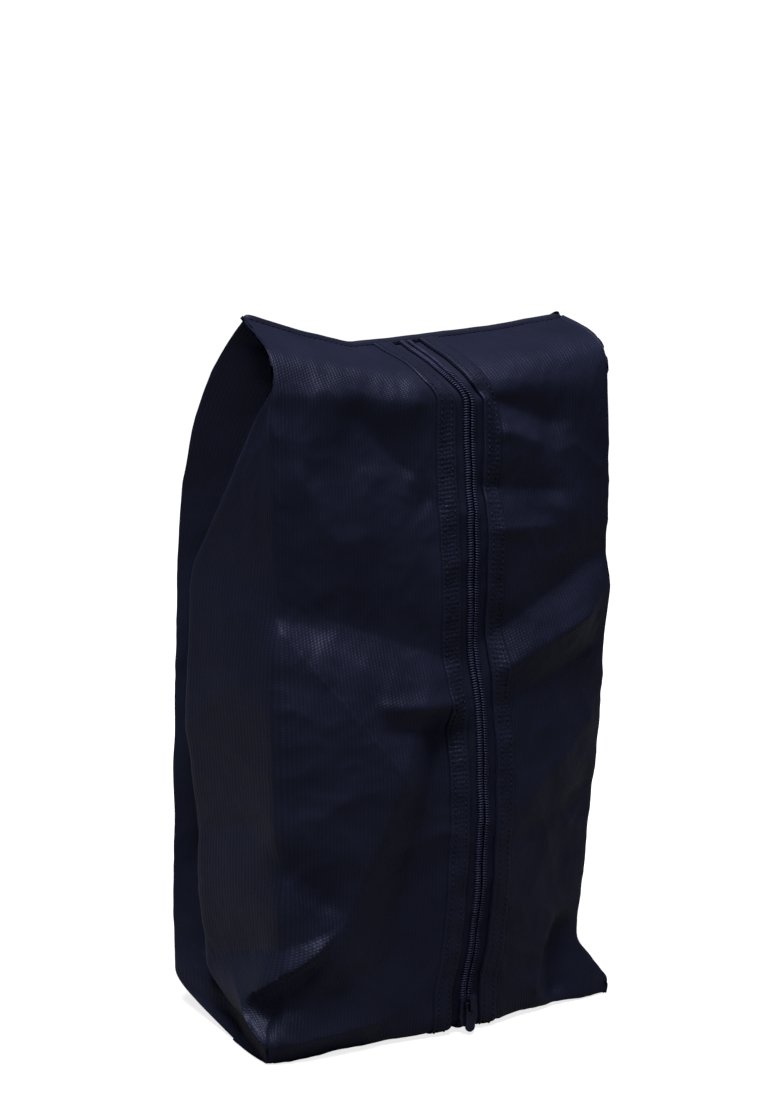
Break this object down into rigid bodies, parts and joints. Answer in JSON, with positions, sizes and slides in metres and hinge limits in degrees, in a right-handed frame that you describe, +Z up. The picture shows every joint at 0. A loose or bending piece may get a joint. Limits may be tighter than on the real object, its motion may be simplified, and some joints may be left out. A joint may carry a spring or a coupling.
{
  "type": "golf shoe bag",
  "caption": "Upright gusseted cloth shoe bag with a full-length zip down the front, which opens as two flaps, and a back that folds in flat.",
  "frame": {"origin": "on the floor, midway between the four upright creases", "axes": "+Z up along the height, -Y out of the zip face, +X to the right when facing the zip"},
  "size_m": [0.198, 0.1261, 0.355],
  "materials": {
    "nylon": "coated nylon weave with a soft sheen",
    "binding": "folded nylon tape",
    "zip_tape": "woven polyester tape",
    "zip_coil": "moulded nylon coil",
    "thread": "polyester thread",
    "slider_metal": "navy enamel on die-cast zinc",
    "tab_metal": "navy enamel on die-cast zinc"
  },
  "bodies": {
    "root": {"front_top_panel": "nylon", "front_base_panel": "nylon", "back_top_panel": "nylon", "back_base_panel": "nylon", "left_gusset": "nylon", "right_gusset": "nylon", "top_zip_tapes": "zip_tape", "top_zip_coils": "zip_coil", "bottom_zip_tapes": "zip_tape", "bottom_zip_coils": "zip_coil", "top_zip_stitching": "thread", "bottom_zip_stitching": "thread", "top_seam_binding": "binding", "bottom_seam_binding": "binding", "top_seam_stitching": "thread", "bottom_seam_stitching": "thread"},
    "left_flap": {"front_left_panel": "nylon", "left_zip_tape": "zip_tape", "left_zip_coil": "zip_coil", "left_zip_stitching": "thread"},
    "right_flap": {"front_right_panel": "nylon", "right_zip_tape": "zip_tape", "right_zip_coil": "zip_coil", "right_zip_stitching": "thread"},
    "back": {"back_panel": "nylon"},
    "slider": {"slider_body": "slider_metal"},
    "pull": {"pull_tab": "tab_metal"}
  },
  "joints": [
    {"name": "left_flap_hinge", "type": "hinge", "parent": "root", "child": "left_flap", "pos_m": [-0.095, -0.0525, 0], "axis": [0, 0, -1], "range_deg": [0, 55]},
    {"name": "right_flap_hinge", "type": "hinge", "parent": "root", "child": "right_flap", "pos_m": [0.095, -0.0525, 0], "axis": [0, 0, 1], "range_deg": [0, 55]},
    {"name": "slider_travel", "type": "slide", "parent": "root", "child": "slider", "axis": [0, 0, 1], "range_m": [0, 0.29]},
    {"name": "pull_swing", "type": "hinge", "parent": "slider", "child": "pull", "pos_m": [0.006, -0.0655, 0.0166], "axis": [-1, 0, 0], "range_deg": [0, 170]},
    {"name": "fold_flat", "type": "slide", "parent": "root", "child": "back", "axis": [0, -1, 0], "range_m": [0, 0.058], "deforming": ["left_gusset", "right_gusset", "back_top_panel", "back_base_panel"]}
  ]
}
